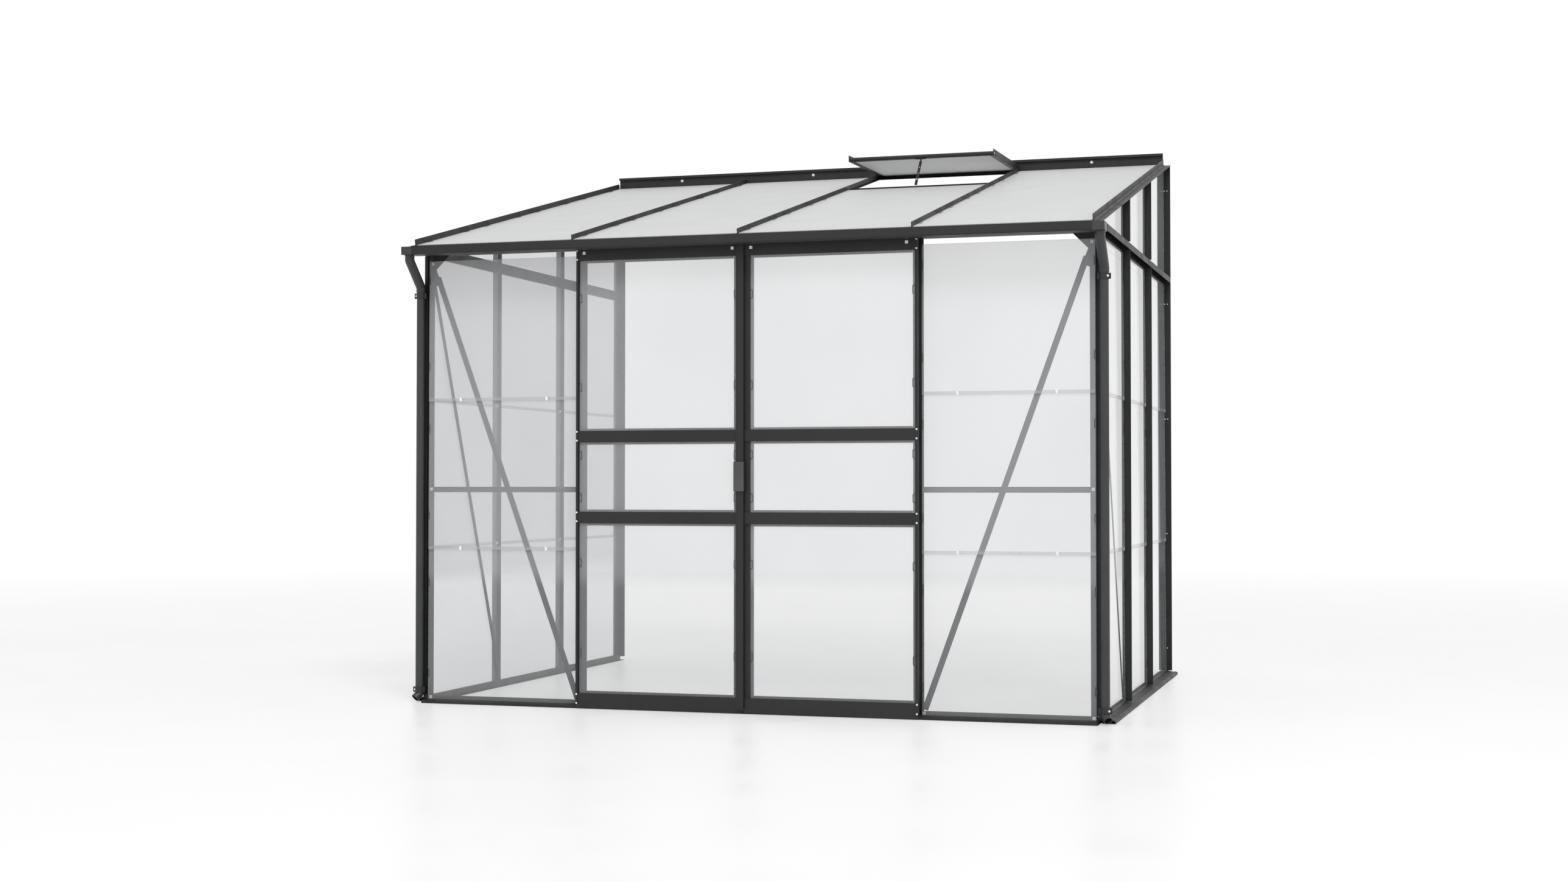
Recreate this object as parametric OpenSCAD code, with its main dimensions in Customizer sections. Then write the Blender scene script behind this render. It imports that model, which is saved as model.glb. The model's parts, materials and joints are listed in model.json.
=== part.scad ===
// Lean-to greenhouse: aluminium bars, lapped glass, twin-wall roof sheets, two sliding door leaves,
// gutter with two downpipes and one roof vent propped open.
// Millimetres, ground at z = 0, door front at -y, house wall at +y, centred over its own outline.

/* [Overall] */
// pitch of the four front bays
bay = 620; // [540:700]
// front edge of the sill to the house wall
depth = 1963; // [1700:2300]
// underside of the front eave beam
eave_z = 1641; // [1500:1800]
// slope of the roof in degrees
slope = 13.5; // [9:18]

/* [Glazing] */
// pane thickness
glass_t = 3; // [3:4]
// thickness of a roof sheet
sheet_t = 4; // [4:6]
// height of the lower lap in the glass
lap_1 = 560; // [450:650]
// height of the upper lap in the glass
lap_2 = 1103; // [950:1250]
// overlap of two panes
lap = 12; // [8:20]

/* [Bars] */
// wall thickness of the aluminium sections
wall_t = 2; // [1.6:2.4]
// depth of a wall bar outside its glazing ledge
fin = 30; // [20:36]
// height of a roof bar above the underside of the sheets
roof_fin = 21; // [16:26]
// width of the flat braces
brace_w = 21; // [16:26]

/* [Doors] */
// height of the bottom rail's upper edge
rail_1 = 56; // [45:70]
// lower edge of the lower middle rail
rail_2 = 660; // [600:720]
// lower edge of the upper middle rail
rail_3 = 948; // [880:1000]
// height of a middle rail
rail_h = 41; // [35:48]
// height of the top rail that shows below the eave
top_rail_h = 44; // [36:50]

/* [Water] */
// outside diameter of the downpipes
pipe_d = 30; // [26:32]
// front of the gutter ahead of the sill
gutter_out = 91; // [80:110]
// height of the gutter front
gutter_h = 31; // [26:36]

/* [Vent] */
// front edge of the vent to its hinge line
vent_l = 557; // [450:700]
// angle the vent is propped open, from the roof
vent_open = 11.9; // [8:13]

/* [Hidden] */
$fn = 64;
// gap between two pieces that bear on each other, and at the edge of a pane
seat = 0.3;
edge = 1;
anthracite = [0.16, 0.16, 0.165];
pipe_grey = [0.2, 0.2, 0.205];
clear = [0.8, 0.86, 0.86, 0.35];
milky = [0.88, 0.89, 0.89];

// across the house: the side walls' ledges, the ends of the front sill, the outer lips of the side sills
wall_in = 8;
end_out = 3;
lip_out = 53;
wall_x = 2 * bay - wall_in;
end_x = wall_x + end_out;
lip_x = wall_x + lip_out;
mid_y = (depth - gutter_out) / 2;

// front sill
sill_d = 80;
lip_h = 8;
slope_d = 8;
seat_z = 12;
upstand_z = 26;

// front posts: their ledges' front face, and what lies behind the ledges
ledge_y = 42;
behind_y = ledge_y + wall_t + seat;
post_in = 5;
post_ledge = 20;
groove_w = 9.5;
groove_d = 10;
nose_w = 9.5;
nose_back = 3;
post_x0 = wall_x - post_in;
post_x1 = post_x0 + groove_w + nose_w;
groove_y = ledge_y + groove_d;
post_back = groove_y + wall_t;
post_y = ledge_y + nose_back;
corner_y = sill_d - edge;
door_post_in = 18.5;
door_post_out = 18;
door_post_x0 = bay - door_post_in;
door_post_x1 = bay + door_post_out;
door_fin = 10;
door_fin_x = bay + door_fin;
door_fin_d = 10;
door_fin_y = ledge_y - door_fin_d;

// rails, braces and gussets of the fixed bays
mid_rail_z = 770;
mid_rail_h = 20;
mid_rail_in = 8;
mid_rail_out = 10;
brace_foot = 2;
brace_low = 4;
brace_in = 36;
brace_drop = 80;
gusset_in = 9;
gusset_w = 73;
gusset_edge = 52;
gusset_strap = 21;
gusset_foot = 105;
gusset_h = 120;

// fixed glass
glass_drop = 21;
glass_top = eave_z - glass_drop;
pane_lean = 0.5;
pane_tilt = glass_t + pane_lean;
pane_end = 2;

// side sills
side_seat_z = 16;
side_lip_h = 9;
side_lip_d = 9;
side_lip_rise = 4;
side_groove = 1;
side_ledge_y = 65;
side_step = 12;
side_foot = 22;

// side walls
bar_w = 25;
bar_t = 1.8;
back_ledge = 46;
rail_low = 33;
rail_high = 32;
rail_z0 = eave_z - rail_low;
rail_z1 = eave_z + rail_high;
rail_lip = 6;
rail_low_lip = 18;
rail_nose = 9;
first_bar = 30;
side_ends = 63;
side_pitch = (depth - side_ends) / 3;
bar_y = [first_bar + side_pitch, first_bar + 2 * side_pitch];
side_brace_low = 6;
side_brace_drop = 83;

// roof: z of the sheets' underside at a given y, and of a point under it
roof_rise = 38.3;
function roof_z(y) = eave_z + roof_rise + y * tan(slope);
function under(y, n) = roof_z(y) - n / cos(slope);
bar_nose = 59.5;
roof_y0 = -bar_nose;
roof_y1 = depth - wall_t - edge;
verge_out = 23;
sheet_nose = 50;
sheet_tail = 8;
plate_t = 2;
ledge_n = plate_t + seat;
plate_rise = 50;
plate_top = roof_z(depth) + plate_rise;
plate_hook = 14;
plate_hook_h = 10;
plate_ledge = 45;

// eave: a hollow beam over the posts, a plate that carries the roof bars, the track in front of the beam
beam_y0 = ledge_y - wall_t;
beam_w = 21;
beam_y1 = beam_y0 + beam_w;
beam_out = 12;
track_y = 12.5;
track_w = 2.5;
track_h = 6;
track_z = eave_z + track_h;

// doors: outline of the leaves
leaf_y0 = -13;
leaf_y1 = 4.5;
leaf_z0 = 16;
leaf_rise = 9;
leaf_top = eave_z + leaf_rise;
leaf_over = 3;
leaf_w = bay + leaf_over;
leaf_meet_l = -1;
leaf_meet_r = 6.5;
function leaf_end(meet) = meet + leaf_w;

// doors: sections of the stiles and rails
leaf_t = 1.5;
outer_front = 8;
outer_recess = 11;
outer_rear = 20;
meet_front_l = 20;
meet_front_r = 4;
recess_y = -6;
recess_w = 24;
rear_w = 34;
rail_y0 = -11;
rail_d = 13.5;
tuck = 8;
skirt_z = 3;
pane_y = recess_y + leaf_t + seat;
top_rail_z = eave_z - top_rail_h;

// doors: strip over the meeting gap, handle, rollers
cover_gap = 5.1;
cover_y = leaf_y0 - cover_gap - leaf_t;
cover_x = 9;
handle_z = 774;
handle_h = 103;
handle_w = 37;
handle_t = 7;
handle_out = 3;
roller_r = 9;
roller_w = 8;
roller_u = 31;
pin_d = 6;
hanger_y = leaf_y1 + seat;
hanger_t = 1.6;
hanger_w = 30;
hanger_low = 14;
hanger_high = 8;

// gutter and outlets
gutter_drop = 8;
gutter_z0 = eave_z - gutter_drop;
gutter_z1 = gutter_z0 + gutter_h;
gutter_back = -31;
gutter_edge = 4;
outlet_out = 44;
outlet_x1 = wall_x + outlet_out;
outlet_drop = 2;
spigot_l = 18;

// downpipes: neck, run and shoe
pipe_out = 25;
pipe_x = wall_x + pipe_out;
pipe_y = 30;
pipe_wall = 2;
spout_y = -61;
neck_wall = 2;
neck_d = pipe_d + 2 * neck_wall;
neck_drop = 19;
neck_top = gutter_z0 - seat;
neck_z = gutter_z0 - neck_drop;
socket_l = 18;
bend_over = 0.5;
shoe_z = 31;
shoe_l = 24;
clip_low = 47;
clip_drop = 149;
clip_z = [clip_low, eave_z - clip_drop];
clip_h = 20;
clip_ear = 6;
clip_ear_y = 3;
clip_tab = 12;

// vent, hinged at the wall plate
hinge_gap = 4;
hinge_play = 0.8;
hinge_y = depth - wall_t - hinge_gap;
hinge_rise = 21.3;
hinge_z = roof_z(hinge_y) + hinge_rise;
vent_y = hinge_y - vent_l;
vent_tilt = slope - vent_open;
vent_side = 5;
vent_rail_h = 17;
vent_rail_d = 20;
vent_rear_d = 16;
vent_rise = 9;
vent_flange = 18;
vent_x0 = vent_side + wall_t + seat;
vent_x1 = bay - vent_x0;
cross_front = 14;
cross_back = 16;
cross_h = 9;
stay_x = 309;
stay_lean = 22;
stay_w = 11;
stay_stem = 6;
stay_stem_h = 8;
stay_plate = 42;
stay_hole = 5;
stay_holes = 3;

module rect(x0, y0, x1, y1) {
    translate([x0, y0])
        square([x1 - x0, y1 - y0]);
}

// profiles drawn in (y, z), run along x
module along_x(x0, x1) {
    translate([x0, 0, 0])
        rotate([90, 0, 90])
            linear_extrude(x1 - x0)
                children();
}

// profiles drawn in (x, z), run along y
module along_y(y0, y1) {
    translate([0, y1, 0])
        rotate([90, 0, 0])
            linear_extrude(y1 - y0)
                children();
}

module along_z(z0, z1) {
    translate([0, 0, z0])
        linear_extrude(z1 - z0)
            children();
}

// profiles drawn in (x, height above the sheets' underside), run up the roof
module along_roof(y0, y1) {
    translate([0, y0, roof_z(y0)])
        rotate([slope, 0, 0])
            along_y(0, (y1 - y0) / cos(slope))
                children();
}

module both() {
    children();
    mirror([1, 0, 0])
        children();
}

module left() {
    mirror([1, 0, 0])
        children();
}

// moves the house from its sill line to the middle of its outline
module placed() {
    translate([0, -mid_y, 0])
        children();
}

module frame_part() {
    color(anthracite)
        placed()
            children();
}

module glass_part() {
    color(clear)
        placed()
            children();
}

module sheet_part() {
    color(milky)
        placed()
            children();
}

module water_part() {
    color(pipe_grey)
        placed()
            children();
}

// ground frame

module front_sill() {
    frame_part()
        along_x(-end_x, end_x) {
            rect(0, 0, sill_d, wall_t);
            rect(0, 0, wall_t, lip_h);
            polygon([[0, lip_h - wall_t], [slope_d, seat_z - wall_t], [slope_d, seat_z], [0, lip_h]]);
            rect(slope_d, seat_z - wall_t, behind_y + wall_t, seat_z);
            rect(behind_y, 0, behind_y + wall_t, upstand_z);
        }
}

module side_sill() {
    inner_x = wall_x - wall_t - seat - wall_t;
    step_x = wall_x + side_step;
    slope_x = lip_x - side_lip_d;
    slope_z = side_lip_h + side_lip_rise;
    groove_z = side_lip_h - side_groove;
    along_y(sill_d + seat, depth) {
        rect(wall_x - side_foot, 0, step_x, wall_t);
        rect(inner_x, side_seat_z - wall_t, step_x, side_seat_z);
    }
    along_y(sill_d + seat, depth - wall_t - seat)
        rect(inner_x, 0, inner_x + wall_t, upstand_z);
    along_y(side_ledge_y, depth) {
        rect(step_x - wall_t, 0, lip_x, wall_t);
        rect(lip_x - wall_t, 0, lip_x, side_lip_h);
        polygon([[lip_x, side_lip_h - wall_t], [lip_x, side_lip_h], [slope_x, slope_z],
            [slope_x, slope_z - wall_t]]);
        rect(slope_x - wall_t, groove_z, slope_x, slope_z);
        polygon([[slope_x, groove_z], [slope_x, groove_z + wall_t], [step_x, side_seat_z],
            [step_x - wall_t, side_seat_z - wall_t]]);
        rect(step_x - wall_t, 0, step_x, side_seat_z);
    }
}

module left_sill() {
    frame_part()
        left()
            side_sill();
}

module right_sill() {
    frame_part()
        side_sill();
}

// front wall

// a ledge for the front pane, a groove for the glazing clips, a hollow nose and a ledge for the side panes
module corner_post() {
    nose_x = post_x1 - nose_w;
    along_z(seat_z + seat, eave_z - seat) {
        rect(post_x0 - post_ledge, ledge_y, post_x0 + wall_t, ledge_y + wall_t);
        difference() {
            rect(nose_x, post_y, post_x1, post_back);
            rect(nose_x + wall_t, post_y + wall_t, post_x1 - wall_t, groove_y);
        }
    }
    along_z(upstand_z + seat, eave_z - seat) {
        rect(post_x0, ledge_y, post_x0 + wall_t, post_back);
        rect(post_x0, groove_y, nose_x + wall_t, post_back);
        rect(wall_x - wall_t, groove_y, wall_x, corner_y);
    }
}

module left_corner_post() {
    frame_part()
        left()
            corner_post();
}

module right_corner_post() {
    frame_part()
        corner_post();
}

module door_post() {
    along_z(seat_z + seat, eave_z - seat) {
        rect(door_post_x0, ledge_y, door_post_x1, ledge_y + wall_t);
        rect(door_fin_x, door_fin_y, door_fin_x + wall_t, ledge_y + wall_t);
    }
}

module left_door_post() {
    frame_part()
        left()
            door_post();
}

module right_door_post() {
    frame_part()
        door_post();
}

module front_mid_rails() {
    frame_part()
        both()
            along_x(door_post_x0 + mid_rail_in, wall_x - mid_rail_out)
                rect(behind_y, mid_rail_z, behind_y + wall_t, mid_rail_z + mid_rail_h);
}

// flat bar from one point to another, in (u, z)
module flat_bar(from, to, width) {
    run = to - from;
    translate(from)
        rotate(atan2(run[1], run[0]))
            translate([0, -width / 2])
                square([norm(run), width]);
}

module front_braces() {
    y0 = behind_y + wall_t + seat;
    frame_part()
        both()
            along_y(y0, y0 + wall_t)
                flat_bar([door_post_x1 + brace_foot, upstand_z + brace_low],
                    [wall_x - brace_in, eave_z - brace_drop], brace_w);
}

module corner_gussets() {
    x1 = wall_x - gusset_in;
    strap_x = x1 - gusset_strap;
    frame_part()
        both()
            along_y(behind_y, behind_y + wall_t)
                polygon([[x1, eave_z - seat], [x1 - gusset_w, eave_z - seat], [strap_x, eave_z - gusset_edge],
                    [strap_x - brace_w, eave_z - gusset_foot], [x1, eave_z - gusset_h]]);
}

// eave

// a plate in (y, z) that the roof bars rest on
module sloped_ledge(y0, y1) {
    sloped_strip(y0, y1, ledge_n + wall_t, ledge_n);
}

// the band between two depths under the sheets
module sloped_strip(y0, y1, low, high) {
    polygon([[y0, under(y0, low)], [y1, under(y1, low)], [y1, under(y1, high)], [y0, under(y0, high)]]);
}

// a block in (y, z) from a level up to a depth under the sheets
module sloped_block(y0, y1, z0, n) {
    polygon([[y0, z0], [y1, z0], [y1, under(y1, n)], [y0, under(y0, n)]]);
}

module eave_beam() {
    top_n = ledge_n + wall_t + seat;
    frame_part()
        along_x(-end_x - beam_out, end_x + beam_out)
            difference() {
                sloped_block(beam_y0, beam_y1, eave_z, top_n);
                sloped_block(beam_y0 + wall_t, beam_y1 - wall_t, eave_z + wall_t, top_n + wall_t);
            }
}

module eave_plate() {
    frame_part()
        along_x(-end_x - beam_out, end_x + beam_out)
            sloped_ledge(gutter_back - wall_t, beam_y1);
}

module door_track() {
    frame_part()
        along_x(-wall_x, wall_x) {
            rect(track_y, eave_z, beam_y0 - seat, eave_z + wall_t);
            rect(track_y, eave_z, track_y + track_w, track_z);
        }
}

// water

module gutter() {
    y0 = -gutter_out;
    back_z = under(gutter_back - wall_t, ledge_n + wall_t) - seat;
    frame_part()
        along_x(-end_x, end_x) {
            rect(y0, gutter_z0 + gutter_edge, y0 + wall_t, gutter_z1);
            rect(y0, gutter_z1 - wall_t, y0 + tuck, gutter_z1);
            polygon([[y0, gutter_z0 + gutter_edge], [y0 + gutter_edge, gutter_z0],
                [y0 + gutter_edge, gutter_z0 + wall_t], [y0 + wall_t, gutter_z0 + gutter_edge]]);
            rect(y0 + gutter_edge, gutter_z0, gutter_back, gutter_z0 + wall_t);
            rect(gutter_back - wall_t, gutter_z0, gutter_back, back_z);
        }
}

module outlet() {
    x0 = end_x + seat;
    y0 = -gutter_out;
    z1 = gutter_z1 - outlet_drop;
    spigot_r = pipe_d / 2 - edge;
    difference() {
        union() {
            translate([x0, y0, gutter_z0])
                cube([outlet_x1 - x0, gutter_back - y0, z1 - gutter_z0]);
            translate([pipe_x, spout_y, gutter_z0 - spigot_l])
                cylinder(r = spigot_r, h = spigot_l + pipe_wall);
        }
        translate([x0 - edge, y0 + pipe_wall, gutter_z0 + pipe_wall])
            cube([outlet_x1 - x0 + edge - pipe_wall, gutter_back - y0 - 2 * pipe_wall, gutter_h]);
        translate([pipe_x, spout_y, gutter_z0 - spigot_l - edge])
            cylinder(r = spigot_r - pipe_wall, h = gutter_h);
    }
}

module gutter_outlets() {
    water_part()
        both()
            outlet();
}

// the run of a downpipe as round bars with a ball at each bend; the bores are drawn longer by past
module pipe_run(neck_r, run_r, past) {
    drop = pipe_y - spout_y;
    translate([pipe_x, spout_y, neck_z]) {
        cylinder(r = neck_r, h = neck_top - neck_z + past);
        sphere(r = neck_r + bend_over);
        rotate([-135, 0, 0])
            cylinder(r = neck_r, h = drop * sqrt(2));
    }
    translate([pipe_x, pipe_y, neck_z - drop]) {
        sphere(r = neck_r + bend_over);
        translate([0, 0, -socket_l])
            cylinder(r = neck_r, h = socket_l);
    }
    translate([pipe_x, pipe_y, shoe_z]) {
        cylinder(r = run_r, h = neck_z - drop - shoe_z);
        sphere(r = run_r + bend_over);
        rotate([0, 135, 0])
            cylinder(r = run_r, h = shoe_l + past);
    }
}

module downpipe() {
    difference() {
        pipe_run(neck_d / 2, pipe_d / 2, 0);
        pipe_run(pipe_d / 2 - edge + seat, pipe_d / 2 - pipe_wall, pipe_wall);
    }
}

module left_downpipe() {
    water_part()
        left()
            downpipe();
}

module right_downpipe() {
    water_part()
        downpipe();
}

// a ring round the pipe with an ear on each side and a tab on the corner post
module pipe_clip() {
    inner_r = pipe_d / 2 + seat;
    outer_r = inner_r + wall_t;
    ear_x = outer_r + clip_ear;
    ear_y = pipe_y - clip_ear_y;
    tab_y = post_y - seat;
    tab_x = post_x1 - nose_w;
    difference() {
        union() {
            translate([pipe_x, pipe_y])
                circle(r = outer_r);
            rect(pipe_x - ear_x, ear_y - wall_t, pipe_x + ear_x, ear_y);
            rect(tab_x, tab_y - wall_t, tab_x + clip_tab, tab_y);
        }
        translate([pipe_x, pipe_y])
            circle(r = inner_r);
    }
}

module pipe_clips() {
    water_part()
        both()
            for (z = clip_z)
                along_z(z - clip_h / 2, z + clip_h / 2)
                    pipe_clip();
}

// side walls

module wall_bars() {
    for (y = bar_y) {
        along_z(side_seat_z + seat, rail_z0 - seat) {
            rect(wall_x - wall_t, y - bar_w / 2, wall_x, y + bar_w / 2);
            rect(wall_x - wall_t, y - bar_t / 2, wall_x + fin, y + bar_t / 2);
        }
        gable_bar(y);
    }
}

// the run of a wall bar above the eave rail, cut to the slope of the roof
module gable_bar(y) {
    along_x(wall_x - wall_t, wall_x)
        gable_shape(y - bar_w / 2, y + bar_w / 2);
    along_x(wall_x - wall_t, wall_x + fin)
        gable_shape(y - bar_t / 2, y + bar_t / 2);
}

module gable_shape(y0, y1) {
    sloped_block(y0, y1, rail_z1 + rail_lip + seat, ledge_n);
}

module left_wall_bars() {
    frame_part()
        left()
            wall_bars();
}

module right_wall_bars() {
    frame_part()
        wall_bars();
}

module back_post() {
    y0 = depth - back_ledge;
    z0 = side_seat_z + seat;
    top_n = ledge_n + wall_t + seat;
    along_x(wall_x - wall_t, wall_x)
        sloped_block(y0, depth, z0, top_n);
    along_z(z0, under(depth, top_n + wall_t))
        rect(wall_x - bar_w, depth - wall_t, wall_x + fin, depth);
}

module left_back_post() {
    frame_part()
        left()
            back_post();
}

module right_back_post() {
    frame_part()
        back_post();
}

module eave_rail() {
    x0 = wall_x - wall_t;
    top_z = rail_z1 + rail_lip;
    low_z = rail_z0 + rail_lip;
    along_y(corner_y + seat, depth - back_ledge - seat) {
        rect(x0, rail_z0, wall_x, top_z);
        polygon([[x0, top_z - wall_t], [wall_x + fin, rail_z1 - wall_t], [wall_x + fin, rail_z1],
            [x0, top_z]]);
        rect(wall_x + fin - wall_t, rail_z1 - rail_nose, wall_x + fin, rail_z1);
        polygon([[x0, low_z], [wall_x + rail_low_lip, rail_z0], [wall_x + rail_low_lip, rail_z0 + wall_t],
            [x0, low_z + wall_t]]);
    }
}

module left_eave_rail() {
    frame_part()
        left()
            eave_rail();
}

module right_eave_rail() {
    frame_part()
        eave_rail();
}

module side_braces() {
    x1 = wall_x - wall_t - seat;
    frame_part()
        both()
            along_x(x1 - wall_t, x1)
                flat_bar([bar_y[0], upstand_z + side_brace_low],
                    [corner_y, eave_z - side_brace_drop], brace_w);
}

// roof

module verge_bar() {
    along_roof(roof_y0, roof_y1) {
        rect(end_x - wall_t, -plate_t, end_x, roof_fin);
        rect(end_x - bar_w, -plate_t, end_x + verge_out, 0);
    }
}

module left_verge_bar() {
    frame_part()
        left()
            verge_bar();
}

module right_verge_bar() {
    frame_part()
        verge_bar();
}

module roof_bars() {
    frame_part()
        for (x = [-bay, 0, bay])
            translate([x, 0, 0])
                along_roof(roof_y0, roof_y1) {
                    rect(-bar_w / 2, -plate_t, bar_w / 2, 0);
                    rect(-wall_t / 2, -plate_t, wall_t / 2, roof_fin);
                }
}

module wall_plate() {
    frame_part()
        along_x(-wall_x, wall_x) {
            rect(depth - wall_t, under(depth, ledge_n + wall_t), depth, plate_top);
            rect(depth - plate_hook, plate_top - wall_t, depth, plate_top);
            rect(depth - plate_hook, plate_top - plate_hook_h, depth - plate_hook + wall_t, plate_top);
            sloped_ledge(depth - plate_ledge, depth);
        }
}

// a roof sheet between two bars
module sheet(x0, x1, y1) {
    side = wall_t / 2 + edge;
    along_roof(-sheet_nose, y1)
        rect(x0 + side, seat, x1 - side, seat + sheet_t);
}

module roof_sheets() {
    last_x = end_x - wall_t / 2;
    y1 = depth - sheet_tail;
    sheet_part() {
        sheet(-last_x, -bay, y1);
        sheet(-bay, 0, y1);
        sheet(bay, last_x, y1);
    }
}

module vent_bay_sheet() {
    sheet_part()
        sheet(0, bay, vent_y);
}

// vent

module vent_cross_bar() {
    side = bar_w / 2 + seat;
    frame_part()
        translate([0, vent_y, roof_z(vent_y)])
            rotate([slope, 0, 0])
                along_x(side, bay - side) {
                    rect(-cross_front, -plate_t, cross_back, 0);
                    rect(cross_back - wall_t, -plate_t, cross_back, cross_h);
                }
}

// the vent's own plane: y = 0 at the hinge, z = 0 at the top of the rails
module in_vent() {
    translate([0, hinge_y, hinge_z])
        rotate([vent_tilt, 0, 0])
            children();
}

// round-nosed section of the vent's front rail, thinner by in on all sides
module nosed(in) {
    r = vent_rail_h / 2;
    translate([-vent_l + r, -r])
        circle(r = r - in);
    rect(-vent_l + r, -vent_rail_h + in, -vent_l + vent_rail_d - in, -in);
}

module vent_front_rail() {
    along_x(vent_x0, vent_x1)
        difference() {
            nosed(0);
            nosed(wall_t);
        }
}

module vent_rear_rail() {
    along_x(vent_x0, vent_x1)
        difference() {
            rect(-vent_rear_d, -vent_rail_h, 0, 0);
            rect(-vent_rear_d + wall_t, -vent_rail_h + wall_t, -wall_t, -wall_t);
        }
}

// an upright web outside the ends of the other rails, with a flange that carries the sheet
module vent_side_rail() {
    along_y(-vent_l, hinge_gap - hinge_play)
        rect(vent_side, -vent_rail_h, vent_side + wall_t, vent_rise);
    along_y(-vent_l + vent_rail_d + seat, -vent_rear_d - seat)
        rect(vent_side, -vent_rail_h, vent_side + vent_flange, -vent_rail_h + wall_t);
}

module vent_frame() {
    frame_part()
        in_vent() {
            vent_front_rail();
            vent_rear_rail();
            vent_side_rail();
            translate([bay, 0, 0])
                mirror([1, 0, 0])
                    vent_side_rail();
        }
}

module vent_sheet() {
    z0 = -vent_rail_h + wall_t + seat;
    sheet_part()
        in_vent()
            along_y(-vent_l + vent_rail_d + seat, -vent_rear_d - seat)
                rect(vent_x0, z0, vent_x1, z0 + sheet_t);
}

// a pierced bar that leans from the cross bar to a plate under the vent's front rail
module vent_stay() {
    y0 = vent_y + cross_back * cos(slope) - cross_h * sin(slope) - wall_t;
    foot_z = roof_z(vent_y) + cross_back * sin(slope) + cross_h * cos(slope);
    foot = [stay_x - stay_lean, foot_z + stay_w / 4];
    plate_z = hinge_z - (hinge_y - y0 + stay_w / 2) * tan(vent_tilt) - vent_rail_h / cos(vent_tilt) - seat;
    head = [stay_x, plate_z - wall_t - stay_stem_h];
    run = head - foot;
    frame_part() {
        along_y(y0, y0 + wall_t) {
            difference() {
                flat_bar(foot, head, stay_w);
                for (i = [1 : stay_holes])
                    translate(foot + run * i / (stay_holes + 1))
                        circle(d = stay_hole);
            }
            rect(stay_x - stay_stem / 2, head[1] - stay_stem, stay_x + stay_stem / 2, plate_z);
        }
        translate([stay_x - stay_plate / 2, y0 + wall_t - stay_w, plate_z - wall_t])
            cube([stay_plate, stay_w, wall_t]);
    }
}

// fixed glass

// three panes lapped like tiles: drawn across u, each leaning out at its foot
module lapped_panes(width) {
    feet = [seat_z + seat, lap_1, lap_2];
    heads = [lap_1 + lap, lap_2 + lap, glass_top];
    for (i = [0 : 2])
        pane(width, feet[i], heads[i]);
}

module pane(width, z0, z1) {
    translate([0, -glass_t - seat - pane_tilt, z0])
        rotate([-asin(pane_tilt / (z1 - z0)), 0, 0])
            cube([width, glass_t, z1 - z0]);
}

module front_glass() {
    x0 = door_fin_x + wall_t + edge;
    translate([x0, ledge_y, 0])
        lapped_panes(post_x0 - edge - x0);
}

module front_left_glass() {
    glass_part()
        left()
            front_glass();
}

module front_right_glass() {
    glass_part()
        front_glass();
}

module side_bays() {
    gap = bar_t / 2 + edge;
    starts = [post_back + pane_end, bar_y[0] + gap, bar_y[1] + gap];
    ends = [bar_y[0] - gap, bar_y[1] - gap, depth - wall_t - pane_end];
    for (i = [0 : 2])
        translate([wall_x, starts[i], 0])
            rotate([0, 0, 90])
                side_panes(ends[i] - starts[i]);
}

module side_panes(width) {
    feet = [side_seat_z + seat, lap_1, lap_2];
    heads = [lap_1 + lap, lap_2 + lap, rail_z0 - seat];
    for (i = [0 : 2])
        pane(width, feet[i], heads[i]);
}

module left_wall_glass() {
    glass_part()
        left()
            side_bays();
}

module right_wall_glass() {
    glass_part()
        side_bays();
}

module gable_panes() {
    gap = bar_t / 2 + edge;
    starts = [corner_y + pane_end, bar_y[0] + gap, bar_y[1] + gap];
    ends = [bar_y[0] - gap, bar_y[1] - gap, roof_y1 - pane_end];
    for (i = [0 : 2])
        along_x(wall_x + seat, wall_x + seat + glass_t)
            gable_shape(starts[i], ends[i]);
}

module left_gable_glass() {
    glass_part()
        left()
            gable_panes();
}

module right_gable_glass() {
    glass_part()
        gable_panes();
}

// door leaves, drawn as the right-hand one: u runs inward from the leaf's edge

module stile_shape(front_w, recess, rear) {
    rect(0, leaf_y0, leaf_t, leaf_y1);
    rect(0, leaf_y0, front_w, leaf_y0 + leaf_t);
    rect(front_w - leaf_t, leaf_y0, front_w, recess_y + leaf_t);
    rect(front_w - leaf_t, recess_y, recess, recess_y + leaf_t);
    rect(0, leaf_y1 - leaf_t, rear, leaf_y1);
}

module outer_stile(meet) {
    translate([leaf_end(meet), 0, 0])
        mirror([1, 0, 0])
            along_z(leaf_z0, leaf_top)
                stile_shape(outer_front, outer_recess, outer_rear);
}

module meeting_stile(meet, front_w) {
    translate([meet, 0, 0])
        along_z(leaf_z0, leaf_top)
            stile_shape(front_w, recess_w, rear_w);
}

// one rail: its skin, two webs and rear skin each run as far as the stiles let them
module rail(meet, meet_w, z_skin, z_webs, z_rear, z1) {
    end = leaf_end(meet);
    along_x(meet + meet_w + seat, end - outer_front - seat)
        rect(rail_y0, z_skin, rail_y0 + leaf_t, z1);
    along_x(meet + recess_w + seat, end - outer_recess - seat)
        for (z = z_webs)
            rect(rail_y0, z, rail_y0 + rail_d, z + leaf_t);
    along_x(meet + rear_w + seat, end - outer_rear - seat)
        rect(rail_y0 + rail_d - leaf_t, z_rear[0], rail_y0 + rail_d, z_rear[1]);
}

module leaf_rails(meet, meet_w) {
    rail(meet, meet_w, skirt_z, [leaf_z0 + edge, rail_1 - tuck - leaf_t],
        [leaf_z0 + edge, rail_1 + tuck], rail_1);
    along_x(meet, leaf_end(meet))
        rect(rail_y0, skirt_z, rail_y0 + leaf_t, leaf_z0 - edge);
    for (z = [rail_2, rail_3])
        rail(meet, meet_w, z, [z + tuck, z + rail_h - tuck - leaf_t],
            [z - tuck, z + rail_h + tuck], z + rail_h);
    rail(meet, meet_w, top_rail_z, [top_rail_z + tuck, leaf_top - leaf_t],
        [top_rail_z - tuck, leaf_top], leaf_top);
}

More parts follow.
